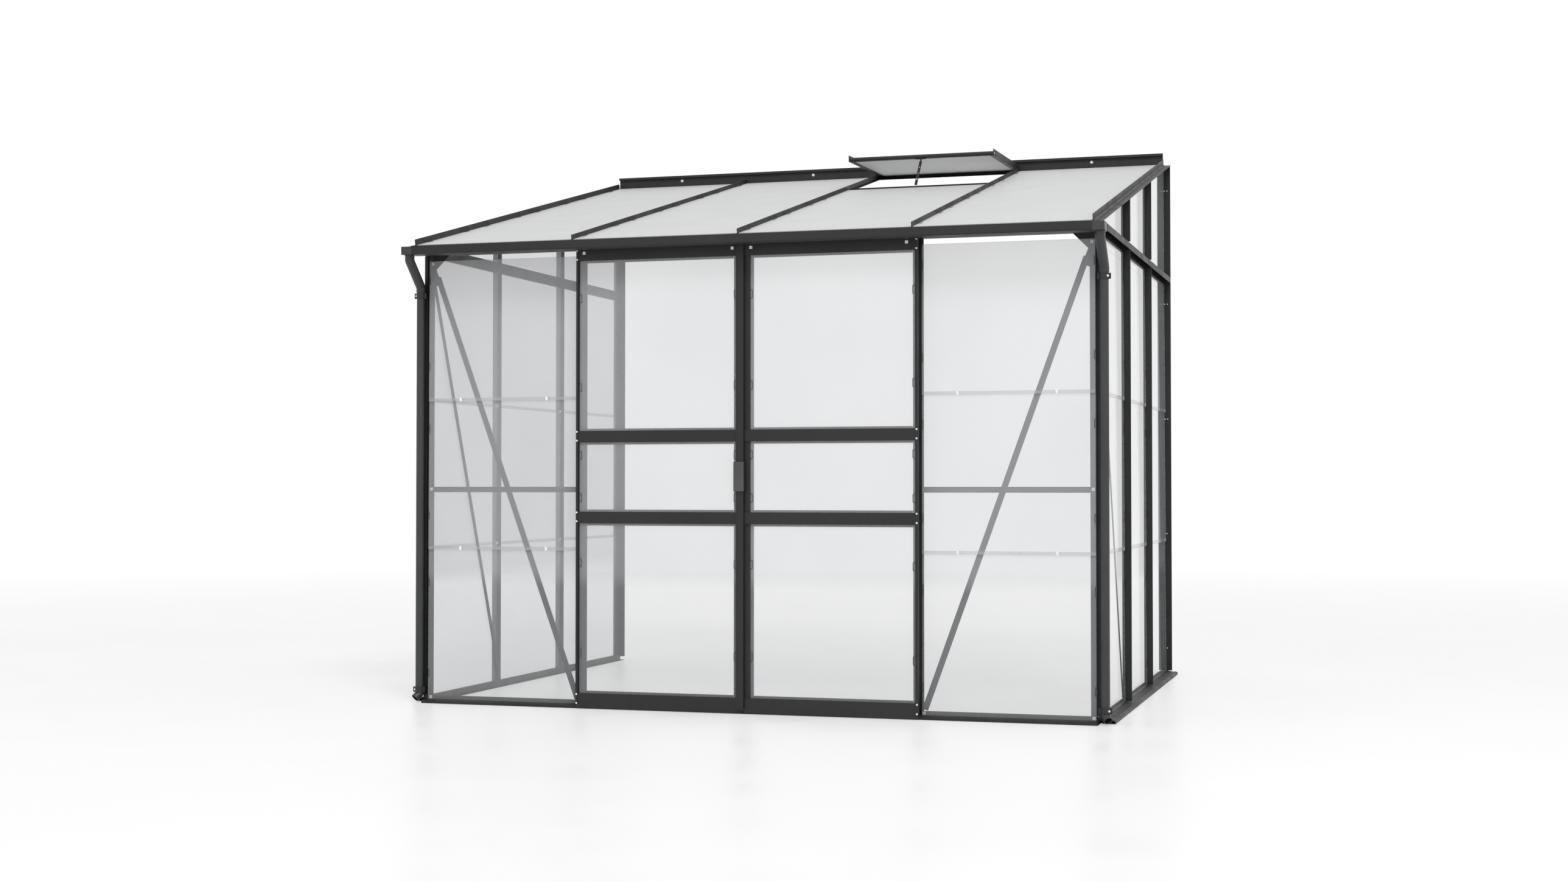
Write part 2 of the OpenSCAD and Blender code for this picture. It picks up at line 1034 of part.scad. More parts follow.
module leaf_panes(meet) {
    side = leaf_t + seat;
    levels = [rail_1, rail_2, rail_2 + rail_h, rail_3, rail_3 + rail_h, top_rail_z];
    for (i = [0 : 2 : 4])
        along_x(meet + side, leaf_end(meet) - side)
            rect(pane_y, levels[i] - tuck + seat, pane_y + glass_t, levels[i + 1] + tuck - seat);
}

// a hanger plate, its pin and the roller that runs on the track
module leaf_rollers(meet) {
    roller_y = track_y + track_w / 2 - roller_w / 2;
    roller_z = track_z + roller_r + seat;
    hanger_z = top_rail_z + hanger_low;
    for (x = [meet + roller_u, leaf_end(meet) - roller_u]) {
        translate([x - hanger_w / 2, hanger_y, hanger_z])
            cube([hanger_w, hanger_t, roller_z + hanger_high - hanger_z]);
        translate([x, hanger_y, roller_z])
            rotate([-90, 0, 0])
                cylinder(d = pin_d, h = roller_y + roller_w - hanger_y);
        translate([x, roller_y, roller_z])
            rotate([-90, 0, 0])
                cylinder(r = roller_r, h = roller_w);
    }
}

// strip on the left leaf that overlaps the gap between the leaves
module meeting_cover() {
    x1 = leaf_meet_l + meet_front_l;
    along_z(leaf_z0, leaf_top) {
        rect(-cover_x, cover_y, x1, cover_y + leaf_t);
        rect(x1 - leaf_t, cover_y, x1, leaf_y0 - seat);
    }
}

module left_door_frame() {
    frame_part()
        left() {
            outer_stile(leaf_meet_l);
            meeting_stile(leaf_meet_l, meet_front_l);
            meeting_cover();
            leaf_rails(leaf_meet_l, meet_front_l);
        }
}

module left_door_glass() {
    glass_part()
        left()
            leaf_panes(leaf_meet_l);
}

module left_door_rollers() {
    color(pipe_grey)
        placed()
            left()
                leaf_rollers(leaf_meet_l);
}

module right_door_frame() {
    frame_part() {
        outer_stile(leaf_meet_r);
        meeting_stile(leaf_meet_r, meet_front_r);
        leaf_rails(leaf_meet_r, meet_front_r);
    }
}

module right_door_glass() {
    glass_part()
        leaf_panes(leaf_meet_r);
}

module right_door_rollers() {
    color(pipe_grey)
        placed()
            leaf_rollers(leaf_meet_r);
}

module door_handle() {
    frame_part()
        translate([cover_x + handle_out - handle_w, cover_y - seat - handle_t, handle_z])
            cube([handle_w, handle_t, handle_h]);
}

front_sill();
left_sill();
right_sill();
left_corner_post();
right_corner_post();
left_door_post();
right_door_post();
front_mid_rails();
front_braces();
corner_gussets();
eave_beam();
eave_plate();
door_track();
gutter();
gutter_outlets();
left_downpipe();
right_downpipe();
pipe_clips();
left_wall_bars();
right_wall_bars();
left_back_post();
right_back_post();
left_eave_rail();
right_eave_rail();
side_braces();
left_verge_bar();
right_verge_bar();
roof_bars();
wall_plate();
roof_sheets();
vent_bay_sheet();
vent_cross_bar();
vent_frame();
vent_sheet();
vent_stay();
front_left_glass();
front_right_glass();
left_wall_glass();
right_wall_glass();
left_gable_glass();
right_gable_glass();
left_door_frame();
left_door_glass();
left_door_rollers();
right_door_frame();
right_door_glass();
right_door_rollers();
door_handle();
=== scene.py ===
"""Lean-to greenhouse: finishes, bolts, glazing clips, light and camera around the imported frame."""
import json
import math

import bmesh
import bpy
from mathutils import Matrix, Vector


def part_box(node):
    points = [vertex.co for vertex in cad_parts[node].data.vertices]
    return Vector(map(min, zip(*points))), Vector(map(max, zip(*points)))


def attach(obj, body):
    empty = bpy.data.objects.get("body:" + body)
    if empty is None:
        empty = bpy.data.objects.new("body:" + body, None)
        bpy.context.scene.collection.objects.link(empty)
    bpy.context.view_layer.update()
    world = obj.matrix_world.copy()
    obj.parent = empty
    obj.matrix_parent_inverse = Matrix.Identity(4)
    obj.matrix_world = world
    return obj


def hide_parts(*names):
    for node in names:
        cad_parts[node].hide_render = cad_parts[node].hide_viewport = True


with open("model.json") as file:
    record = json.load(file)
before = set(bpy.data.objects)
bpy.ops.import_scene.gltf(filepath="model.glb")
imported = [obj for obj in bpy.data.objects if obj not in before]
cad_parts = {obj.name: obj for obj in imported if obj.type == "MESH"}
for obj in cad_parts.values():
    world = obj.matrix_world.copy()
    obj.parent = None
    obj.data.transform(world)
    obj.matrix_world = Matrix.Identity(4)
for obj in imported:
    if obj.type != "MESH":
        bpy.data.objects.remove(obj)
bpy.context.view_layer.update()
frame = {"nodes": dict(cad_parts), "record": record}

# places are written in millimetres from the front edge of the sill, as in the part's source
MM = 0.001
SILL_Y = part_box("front_sill")[0].y
BAY = 620
DEPTH = 1963
EAVE_Z = 1641
PIPE_AXIS = (1257, 30)
# walls: the planes that the panes lie on, the groove and the fin beside the front panes, the side bars
WALL_X = 1232
LEDGE_Y = 42
POST_X = 1227
DOOR_FIN_X = 632
BAR_Y = (663.3, 1296.7)
FIN_HALF = 0.9
# panes: gap below a seated piece, thickness, how far a foot stands out, heights of the laps, overlap
SEAT = 0.3
GLASS_T = 3
TILT = 3.5
LAPS = (560, 1103)
LAP = 12
# roof: its pitch and its height over the front edge of the sill
ROOF_DEG = 13.5
SLOPE = math.radians(ROOF_DEG)
ROOF_Z = 1679.3
# a rounded rim, and the two sides of the house
ROLL = 0.6
HANDS = ((-1, "left"), (1, "right"))

X_AXIS = Vector((1, 0, 0))
Y_AXIS = Vector((0, 1, 0))
Z_AXIS = Vector((0, 0, 1))
UP_ROOF = Vector((0, math.cos(SLOPE), math.sin(SLOPE)))
OFF_ROOF = Vector((0, -math.sin(SLOPE), math.cos(SLOPE)))


def at(x, y, z):
    """A place in the house, in millimetres, as a point of the row frame."""
    return Vector((x * MM, y * MM + SILL_Y, z * MM))


def roof_z(y):
    """Height of the roof's plane over a place along the depth."""
    return ROOF_Z + y * math.tan(SLOPE)


# finishes: lengths in a material are metres

def shader(name):
    """A new material with its nodes, its links and its one surface shader."""
    mat = bpy.data.materials.new(name)
    mat.use_nodes = True
    nodes = mat.node_tree.nodes
    return mat, nodes, mat.node_tree.links, nodes["Principled BSDF"]


def noise(nodes, links, scale, detail=3.0, stretch=(1, 1, 1)):
    """Noise over the object's own metres, stretched along an axis where asked."""
    place = nodes.new("ShaderNodeTexCoord")
    spread = nodes.new("ShaderNodeMapping")
    spread.inputs["Scale"].default_value = stretch
    tex = nodes.new("ShaderNodeTexNoise")
    tex.inputs["Scale"].default_value = scale
    tex.inputs["Detail"].default_value = detail
    links.new(place.outputs["Object"], spread.inputs["Vector"])
    links.new(spread.outputs["Vector"], tex.inputs["Vector"])
    return tex.outputs["Fac"]


def ramp(nodes, links, value, low, high, start=0.35, end=0.65):
    """A value taken from low to high: two colours, or two numbers."""
    if isinstance(low, tuple):
        node = nodes.new("ShaderNodeValToRGB")
        node.color_ramp.elements[0].position = start
        node.color_ramp.elements[0].color = (*low, 1)
        node.color_ramp.elements[1].position = end
        node.color_ramp.elements[1].color = (*high, 1)
        links.new(value, node.inputs["Fac"])
        return node.outputs["Color"]
    node = nodes.new("ShaderNodeMapRange")
    node.inputs["From Min"].default_value = start
    node.inputs["From Max"].default_value = end
    node.inputs["To Min"].default_value = low
    node.inputs["To Max"].default_value = high
    links.new(value, node.inputs["Value"])
    return node.outputs["Result"]


def product(nodes, links, a, b):
    """Two values multiplied."""
    node = nodes.new("ShaderNodeMath")
    node.operation = "MULTIPLY"
    links.new(a, node.inputs[0])
    links.new(b, node.inputs[1])
    return node.outputs[0]


def height(nodes, links):
    """Height above the ground in metres."""
    place = nodes.new("ShaderNodeTexCoord")
    split = nodes.new("ShaderNodeSeparateXYZ")
    links.new(place.outputs["Object"], split.inputs["Vector"])
    return split.outputs["Z"]


def bump(nodes, links, bsdf, relief, strength, distance):
    """Relief on the surface, up to a distance."""
    node = nodes.new("ShaderNodeBump")
    node.inputs["Strength"].default_value = strength
    node.inputs["Distance"].default_value = distance
    links.new(relief, node.inputs["Height"])
    links.new(node.outputs["Normal"], bsdf.inputs["Normal"])


CLOUD_DETAIL = 4.0
DRIFT_PER_CLOUD = 4.5
SOFT_DETAIL = 2.0
GRAIN_DEPTH = 0.0004


def solid_finish(name, dark, light, rough, cloud, grain, relief, metallic=0.0, specular=0.5):
    """An opaque finish: clouded colour, roughness that drifts, and a fine grain."""
    mat, nodes, links, bsdf = shader(name)
    cloudy = noise(nodes, links, cloud, CLOUD_DETAIL)
    links.new(ramp(nodes, links, cloudy, dark, light), bsdf.inputs["Base Color"])
    drift = noise(nodes, links, cloud * DRIFT_PER_CLOUD)
    links.new(ramp(nodes, links, drift, *rough), bsdf.inputs["Roughness"])
    bump(nodes, links, bsdf, noise(nodes, links, grain, SOFT_DETAIL), relief, GRAIN_DEPTH)
    bsdf.inputs["Metallic"].default_value = metallic
    bsdf.inputs["Specular IOR Level"].default_value = specular
    return mat


RIB_PITCH = 0.0062
# a wave node has one band every 2 pi / 20 units at scale 1
WAVE_BAND = 2 * math.pi / 20
SHEET_GROOVE = (0.55, 0.557, 0.557)
SHEET_RIB = (0.585, 0.591, 0.591)
RIB_SPAN = (0.0, 0.45)
SHEET_DRIFT = 6.0
SHEET_ROUGH = (0.45, 0.55)
SHEET_COVER = 0.95
SHEET_SPECULAR = 0.2
RIB_RELIEF = 0.05
RIB_DEPTH = 0.0006


def sheet_finish():
    """Milky twin-wall sheet: ribs that run down the slope, a little light through it."""
    mat, nodes, links, bsdf = shader("twin_wall_sheet")
    place = nodes.new("ShaderNodeTexCoord")
    wave = nodes.new("ShaderNodeTexWave")
    wave.wave_type = "BANDS"
    wave.bands_direction = "X"
    wave.inputs["Scale"].default_value = WAVE_BAND / RIB_PITCH
    wave.inputs["Distortion"].default_value = 0.0
    links.new(place.outputs["Object"], wave.inputs["Vector"])
    ribs = ramp(nodes, links, wave.outputs["Fac"], SHEET_GROOVE, SHEET_RIB, *RIB_SPAN)
    links.new(ribs, bsdf.inputs["Base Color"])
    drift = noise(nodes, links, SHEET_DRIFT)
    links.new(ramp(nodes, links, drift, *SHEET_ROUGH), bsdf.inputs["Roughness"])
    bump(nodes, links, bsdf, wave.outputs["Fac"], RIB_RELIEF, RIB_DEPTH)
    bsdf.inputs["Alpha"].default_value = SHEET_COVER
    bsdf.inputs["Specular IOR Level"].default_value = SHEET_SPECULAR
    return mat


# painted reflection: the pane's pale clouded tone and its cover stand in for the bright surroundings
# mirrored in the glass, and are weaker near the ground
REFLECTION_CLOUD = 1.6
REFLECTION_DARK = (0.56, 0.57, 0.59)
REFLECTION_LIGHT = (0.60, 0.61, 0.63)
PANE_ROUGH = (0.02, 0.05)
REFLECTION_STRETCH = (1, 1, 0.5)
COVER_CLOUD = 3.0
REFLECTION_COVER = (0.262, 0.29)
# share of the painted reflection at the foot and above it, and the heights between which it changes
FOOT_SHARE = (0.6, 1.0)
FOOT_Z = (0.43, 0.48)


def glass_finish():
    """Pane: clear, with a pale painted reflection of the bright surroundings that is weaker near the
    ground.
    """
    mat, nodes, links, bsdf = shader("pane_glass")
    reflection_tone = noise(nodes, links, REFLECTION_CLOUD, SOFT_DETAIL, REFLECTION_STRETCH)
    links.new(ramp(nodes, links, reflection_tone, REFLECTION_DARK, REFLECTION_LIGHT), bsdf.inputs["Base Color"])
    links.new(ramp(nodes, links, reflection_tone, *PANE_ROUGH), bsdf.inputs["Roughness"])
    patches = noise(nodes, links, COVER_CLOUD, SOFT_DETAIL)
    cover = ramp(nodes, links, patches, *REFLECTION_COVER)
    weak_foot_reflection = ramp(nodes, links, height(nodes, links), *FOOT_SHARE, *FOOT_Z)
    links.new(product(nodes, links, cover, weak_foot_reflection), bsdf.inputs["Alpha"])
    return mat


EDGE_MARKS = 120.0
EDGE_DARK = (0.10, 0.13, 0.125)
EDGE_LIGHT = (0.20, 0.235, 0.228)
EDGE_ROUGH = (0.15, 0.4)
EDGE_RELIEF = 0.2
EDGE_DEPTH = 0.0003


def edge_finish():
    """Cut edge of a pane: dark green-grey, with fine marks along it."""
    mat, nodes, links, bsdf = shader("pane_edge")
    marks = noise(nodes, links, EDGE_MARKS, SOFT_DETAIL)
    links.new(ramp(nodes, links, marks, EDGE_DARK, EDGE_LIGHT), bsdf.inputs["Base Color"])
    links.new(ramp(nodes, links, marks, *EDGE_ROUGH), bsdf.inputs["Roughness"])
    bump(nodes, links, bsdf, marks, EDGE_RELIEF, EDGE_DEPTH)
    return mat


coat = solid_finish(
    "powder_coat",
    dark=(0.0110, 0.0110, 0.0112),
    light=(0.0150, 0.0150, 0.0152),
    rough=(0.46, 0.58),
    cloud=2.5,
    grain=900.0,
    relief=0.1,
    specular=0.42,
)
plate_coat = solid_finish(
    "handle_coat",
    dark=(0.05, 0.05, 0.051),
    light=(0.065, 0.065, 0.066),
    rough=(0.36, 0.48),
    cloud=14.0,
    grain=900.0,
    relief=0.12,
)
pipe = solid_finish(
    "moulded_pipe",
    dark=(0.027, 0.027, 0.0275),
    light=(0.035, 0.035, 0.0355),
    rough=(0.34, 0.46),
    cloud=5.0,
    grain=420.0,
    relief=0.1,
)
nylon = solid_finish(
    "roller_nylon",
    dark=(0.02, 0.02, 0.02),
    light=(0.035, 0.035, 0.035),
    rough=(0.4, 0.55),
    cloud=30.0,
    grain=700.0,
    relief=0.15,
)
band = solid_finish(
    "clip_band",
    dark=(0.010, 0.010, 0.010),
    light=(0.016, 0.016, 0.016),
    rough=(0.4, 0.5),
    cloud=20.0,
    grain=700.0,
    relief=0.12,
)
# painted shade: a near-black matte coat, darker than the powder coat, put on the eave rails' inner
# faces where shade falls
shade_coat = solid_finish(
    "painted_shade_coat",
    dark=(0.003, 0.003, 0.003),
    light=(0.005, 0.005, 0.005),
    rough=(0.6, 0.7),
    cloud=8.0,
    grain=900.0,
    relief=0.1,
    specular=0.1,
)
zinc = solid_finish(
    "zinc_bolt",
    dark=(0.78, 0.78, 0.78),
    light=(0.92, 0.92, 0.92),
    rough=(0.25, 0.4),
    cloud=90.0,
    grain=1500.0,
    relief=0.1,
    metallic=0.25,
)
spring = solid_finish(
    "spring_wire",
    dark=(0.010, 0.010, 0.010),
    light=(0.03, 0.03, 0.03),
    rough=(0.25, 0.4),
    cloud=60.0,
    grain=1800.0,
    relief=0.1,
    metallic=0.2,
)
sheet = sheet_finish()
glass = glass_finish()
glass_edge = edge_finish()

FINISH = {
    "coated_aluminium": coat,
    "pipe_plastic": pipe,
    "roof_sheet": sheet,
    "glass": glass,
    "roller": nylon,
}
SIDE_GLASS = ("left_wall_glass", "right_wall_glass", "left_gable_glass", "right_gable_glass")
FACE_ON = 0.5

for sub in frame["record"]["subparts"]:
    mesh = frame["nodes"][sub["node"]].data
    mesh.materials.clear()
    mesh.materials.append(FINISH[sub["material_slot"]])
    if sub["material_slot"] == "glass":
        mesh.materials.append(glass_edge)
        for face in mesh.polygons:
            across = abs(face.normal.x if sub["node"] in SIDE_GLASS else face.normal.y)
            face.material_index = 0 if across > FACE_ON else 1
frame["nodes"]["door_handle"].data.materials[0] = plate_coat
frame["nodes"]["pipe_clips"].data.materials[0] = band


# shapes that the pieces are made of

def frame_of(origin, along, out, up):
    """A local frame: millimetres along, out and up from a place in the house."""
    turn = Matrix((along, out, up)).transposed().to_4x4()
    return Matrix.Translation(origin) @ turn @ Matrix.Scale(MM, 4)


def skin(bm, rings, closed=False):
    """Faces between rings of points in a row; the two ends are capped, or joined where it is closed."""
    loops = [[bm.verts.new(p) for p in ring] for ring in rings]
    if closed:
        loops.append(loops[0])
    sides = []
    for a, b in zip(loops, loops[1:]):
        for i in range(len(a)):
            j = (i + 1) % len(a)
            sides.append(bm.faces.new((a[i], a[j], b[j], b[i])))
    if not closed:
        bm.faces.new(reversed(loops[0]))
        bm.faces.new(loops[-1])
    return sides


def circle(place, radius, rise, sides, turn=0.0):
    """A ring of points about a local frame's third axis."""
    turns = [2 * math.pi * i / sides + turn for i in range(sides)]
    return [place @ Vector((radius * math.cos(t), radius * math.sin(t), rise)) for t in turns]


CORNER_CUT = 0.25


def rounded(points, rounds=2):
    """A path with its corners cut, as a bent wire has."""
    for _ in range(rounds):
        path = [points[0]]
        for a, b in zip(points, points[1:]):
            path += [a.lerp(b, CORNER_CUT), a.lerp(b, 1 - CORNER_CUT)]
        points = path + [points[-1]]
    return points


def mirrored(half):
    """A path to the middle and back out on the other side of its first axis."""
    return [*half, *((-s, o, n) for s, o, n in reversed(half))]


def tangent_at(path, i):
    """The direction of a path at one of its points."""
    return (path[min(i + 1, len(path) - 1)] - path[max(i - 1, 0)]).normalized()


def spokes_along(path, sides):
    """For each point of a path, unit spokes square to it that turn with it and don't twist."""
    normal = (path[1] - path[0]).orthogonal().normalized()
    turns = [2 * math.pi * k / sides for k in range(sides)]
    stars = []
    for i in range(len(path)):
        tangent = tangent_at(path, i)
        normal = (normal - tangent * normal.dot(tangent)).normalized()
        other = tangent.cross(normal)
        stars.append([normal * math.cos(t) + other * math.sin(t) for t in turns])
    return stars


def swept(path, stars, radius):
    """The rings of a round section along a path."""
    return [[p + spoke * (radius * MM) for spoke in star] for p, star in zip(path, stars)]


WIRE_R = 0.9
WIRE_SIDES = 6


def wire(bm, points):
    """A round wire along a bent path."""
    path = rounded(points)
    skin(bm, swept(path, spokes_along(path, WIRE_SIDES), WIRE_R))


def tube(bm, points, radii, sides):
    """An open tube along a bent path: out along its skin and back along its bore."""
    path = rounded(points)
    stars = spokes_along(path, sides)
    outer, bore = (swept(path, stars, radius) for radius in radii)
    skin(bm, outer + bore[::-1], closed=True)


def strip(bm, points, across, width, thick):
    """A flat strip bent along a path: across is its width's direction."""
    path = rounded(points, 1)
    half = across * (width * MM / 2)
    rings = []
    for i, p in enumerate(path):
        normal = tangent_at(path, i).cross(across).normalized() * (thick * MM / 2)
        rings.append([p - half - normal, p + half - normal, p + half + normal, p - half + normal])
    skin(bm, rings)


WASHER_SIDES = 24
WASHER_RIM = 0.8
WASHER_TOP = 1.1
WASHER_BEVEL = 0.4
HEAD_ON_WASHER = 1.0
CROWN_SHARE = 0.25
DISH_RIM = 0.5
DISH_FOOT = 0.42
DISH_SHARE = 0.8


def bolt(bm, origin, axis, sides, radius, rise, washer=0.0):
    """A bolt head on an upright face: washer, flanks, bevelled crown and the dished middle."""
    place = frame_of(origin, Z_AXIS, axis.cross(Z_AXIS), axis)
    base = 0.0
    if washer:
        rims = [(washer, 0.0), (washer, WASHER_RIM), (washer - WASHER_BEVEL, WASHER_TOP)]
        skin(bm, [circle(place, r, n, WASHER_SIDES) for r, n in rims])
        base = HEAD_ON_WASHER
    crown = rise * CROWN_SHARE
    top = base + rise
    profile = [
        (radius, base),
        (radius, top - crown),
        (radius - crown, top),
        (radius * DISH_RIM, top),
        (radius * DISH_FOOT, top - crown * DISH_SHARE),
    ]
    skin(bm, [circle(place, r, n, sides, math.pi / sides) for r, n in profile])


def piece(name, bm, mats, body):
    """One object from the gathered mesh, riding on a body."""
    bmesh.ops.recalc_face_normals(bm, faces=bm.faces)
    mesh = bpy.data.meshes.new(name)
    bm.to_mesh(mesh)
    bm.free()
    for mat in mats:
        mesh.materials.append(mat)
    obj = bpy.data.objects.new(name, mesh)
    bpy.context.scene.collection.objects.link(obj)
    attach(obj, body)
    return obj


# roof bars: a bent wire on each side of a fin presses the sheet down
ROOF_BAR_X = (-1234, -BAY, 0, BAY, 1234)
ROOF_FIN_HALF = 1
ROOF_CLIPS = (40, 350, 528, 830, 1020, 1320, 1520, 1830)
VENT_FOOT_Y = 1300
VENT_SIDES = ((0, 1), (BAY, -1))
SHEET_TOP = 4.3
ON_SHEET = SHEET_TOP + WIRE_R
# half a clip: along the bar, off the fin and over the roof
ROOF_CLIP_HALF = ((-38, 1.0, 18.5), (-31, 1.1, 16), (-22, 9, ON_SHEET), (-8, 10, ON_SHEET))


def roof_clip(bm, x, y, side):
    """One wire beside a roof bar's fin."""
    place = frame_of(at(x, y, roof_z(y)), UP_ROOF, X_AXIS * side, OFF_ROOF)
    wire(bm, [place @ Vector(p) for p in mirrored(ROOF_CLIP_HALF)])


clips = bmesh.new()
for bar_x in ROOF_BAR_X:
    for side in (-1, 1):
        outside = abs(bar_x) > BAY and bar_x * side > 0
        for y in ROOF_CLIPS:
            under_vent = (bar_x, side) in VENT_SIDES and y > VENT_FOOT_Y
            if not outside and not under_vent:
                roof_clip(clips, bar_x + side * (ROOF_FIN_HALF + WIRE_R), y, side)
piece("roof_clips", clips, [spring], "house")


# walls: the same wire between a bar's fin and the pane
CLIP_Z = (108, 440, 684, 1003, 1232, 1548)
CLIP_HALF = 14
CLIP_BEND = 3.5
CLIP_STEP = 1
# foot of the lowest pane and head of the highest one
SIDE_PANES = (16.3, EAVE_Z - 33)
FRONT_PANES = (12.3, EAVE_Z - 21)
# how far a clip's foot lies from its bar, and where the clip starts
SIDE_FOOT = 8.5
SIDE_RISE = 6
FRONT_FOOT = 4.5
POST_GROOVE = (-5, -4)
DOOR_FIN_RISE = 2


def glass_face(z, foot, head):
    """How far the outer face of three lapped panes stands off its ledge at a height."""
    feet = (foot, *LAPS)
    heads = (*(lap + LAP for lap in LAPS), head)
    out = 0.0
    for z0, z1 in zip(feet, heads):
        if z0 <= z <= z1:
            out = max(out, SEAT + GLASS_T + TILT * (1 - (z - z0) / (z1 - z0)))
    return out


def loop_clip(bm, place, start, foot, reach):
    """A wire loop: from its start, given as (sideways, out), onto the pane, along it and back."""
    half = [
        (CLIP_HALF, *start),
        (CLIP_HALF, start[0] + CLIP_STEP, reach),
        (CLIP_HALF, foot - CLIP_BEND, reach),
        (CLIP_HALF, foot, reach),
        (CLIP_HALF - CLIP_BEND, foot, reach),
    ]
    wire(bm, [place @ Vector(p) for p in mirrored(half)])


clips = bmesh.new()
for hand, _ in HANDS:
    for z in CLIP_Z:
        reach = glass_face(z - CLIP_HALF, *SIDE_PANES) + WIRE_R
        for y in BAR_Y:
            for side in (-1, 1):
                origin = at(hand * WALL_X, y + side * FIN_HALF, z)
                place = frame_of(origin, Z_AXIS, Y_AXIS * side, X_AXIS * hand)
                loop_clip(clips, place, (WIRE_R, reach + SIDE_RISE), SIDE_FOOT, reach)
        reach = glass_face(z - CLIP_HALF, *FRONT_PANES) + WIRE_R
        place = frame_of(at(hand * POST_X, LEDGE_Y, z), Z_AXIS, X_AXIS * -hand, -Y_AXIS)
        loop_clip(clips, place, POST_GROOVE, FRONT_FOOT, reach)
        place = frame_of(at(hand * DOOR_FIN_X, LEDGE_Y, z), Z_AXIS, X_AXIS * hand, -Y_AXIS)
        loop_clip(clips, place, (WIRE_R, reach + DOOR_FIN_RISE), FRONT_FOOT, reach)
piece("wall_clips", clips, [spring], "house")


# laps: a flat S holds the upper pane's foot on the lower pane's head
FRONT_LAP_X = (757, 1097)
SIDE_ENDS = (56, DEPTH - 4)
SIDE_BAYS = ((SIDE_ENDS[0], BAR_Y[0]), BAR_Y, (BAR_Y[1], SIDE_ENDS[1]))
SIDE_LAP_IN = 19
S_WIDTH = 10
S_THICK = 0.45
# where the S lies off the ledge: before the upper pane, between the two, and behind the lower pane
S_FRONT = SEAT + GLASS_T + TILT + 0.5
S_BETWEEN = SEAT + GLASS_T + 0.25
S_BACK = -0.3
# its heights over the lap: top of the front leg, bend below, bend above, end of the back leg
S_TOP = 13
S_LOW = -0.7
S_HIGH = LAP + 0.6
S_END = 3


def lap_clip(bm, origin, across, out):
    """origin lies on the ledge plane at the lap, out is the pane's outward direction."""
    place = frame_of(origin, across, out, Z_AXIS)
    path = [
        (S_FRONT, S_TOP),
        (S_FRONT, S_LOW),
        (S_BETWEEN, S_LOW),
        (S_BETWEEN, S_HIGH),
        (S_BACK, S_HIGH),
        (S_BACK, S_END),
    ]
    strip(bm, [place @ Vector((0, o, z)) for o, z in path], across, S_WIDTH, S_THICK)


clips = bmesh.new()
for z in LAPS:
    for hand, _ in HANDS:
        for x in FRONT_LAP_X:
            lap_clip(clips, at(hand * x, LEDGE_Y, z), X_AXIS, -Y_AXIS)
        for y0, y1 in SIDE_BAYS:
            for y in (y0 + SIDE_LAP_IN, y1 - SIDE_LAP_IN):
                lap_clip(clips, at(hand * WALL_X, y, z), Y_AXIS, X_AXIS * hand)
piece("lap_clips", clips, [zinc], "house")


# bolt heads: number of sides, radius, rise and the washer's radius where there is one
SQUARE = 4
SQUARE_R = 7.6
HANGER_BOLT = (SQUARE, SQUARE_R, 4)
STILE_SCREW = (16, 3.3, 1.8)
PLATE_BOLT = (6, 4.6, 3.0, 6.5)
BACK_BOLT = (6, 2.6, 2.0)
RING_BOLT = (16, 4.0, 2.6)
VENT_SCREW = (16, 3.4, 1.8)


# doors: wires over the panes, square bolts of the hangers, screws at the stiles' edges
LEAF_FRONT = -13
RECESS_Y = -6
PANE_Y = -4.2
RAIL_Y = -11
HANGER_Z = 1624.5
HANGER_X = (34, 591.5)
DOOR_CLIP_Z = (199, 519, 751, 902, 1145, 1463)
SCREW_Z = (20.2, 52.0, 667.0, 698.6, 954.5, 986.0, 1601.9, 1634.1)
SCREW_IN = 4
# each leaf: its outer edge and its meeting edge
LEAF_EDGES = {"left": (-622, 1), "right": (629.5, 6.5)}
# a clip's start and foot, from the outer edge and from the meeting edge
OUTER_CLIP = (9.5, 19)
MEET_CLIP = (21.5, 31)
DOOR_CLIP_STEP = 3.5


def door_clip(bm, edge_x, inward, start, foot, z):
    """A wire loop from the stile's recessed face onto the pane."""
    over = RECESS_Y - WIRE_R
    low = PANE_Y - WIRE_R
    half = [
        (CLIP_HALF, start, over),
        (CLIP_HALF, start + DOOR_CLIP_STEP, over),
        (CLIP_HALF, foot - CLIP_BEND, low),
        (CLIP_HALF, foot, low),
        (CLIP_HALF - CLIP_BEND, foot, low),
    ]
    wire(bm, [at(edge_x + inward * u, y, z + s) for s, u, y in mirrored(half)])


for hand, name in HANDS:
    body = name + "_leaf"
    edge_x, meet_x = LEAF_EDGES[name]
    clips = bmesh.new()
    for z in DOOR_CLIP_Z:
        door_clip(clips, edge_x, -hand, *OUTER_CLIP, z)
        door_clip(clips, meet_x, hand, *MEET_CLIP, z)
    piece(name + "_door_clips", clips, [spring], body)
    heads = bmesh.new()
    for x in HANGER_X:
        bolt(heads, at(hand * x, RAIL_Y, HANGER_Z), -Y_AXIS, *HANGER_BOLT)
    for z in SCREW_Z:
        bolt(heads, at(edge_x - hand * SCREW_IN, LEAF_FRONT, z), -Y_AXIS, *STILE_SCREW)
    piece(name + "_door_bolts", heads, [zinc], body)


# house: bolts at the joints of the bars
# square heads on the front ledges: place across, height, and the room that the pane leaves for the head
SQUARE_HEADS = ((1217, 19.5, 2.2), (638, 19, 2.2), (1217, 781.5, 2.0), (1214, 1610, 0.3))
PLATE_BOLT_X = (310, 930)
PLATE_BOLT_Z = 2178
BACK_FACE = DEPTH - 2
BACK_PAIR_X = (1237, 1248)
BACK_PAIR_Z = (1075, 1561, 2041)
BACK_SINGLE_X = 1243
BACK_SINGLE_Z = (110, 592)
RING_Z = (47, 1492)
RING_R = 17.3
RING_TURN = math.radians(-40)
RING_SINK = 0.4

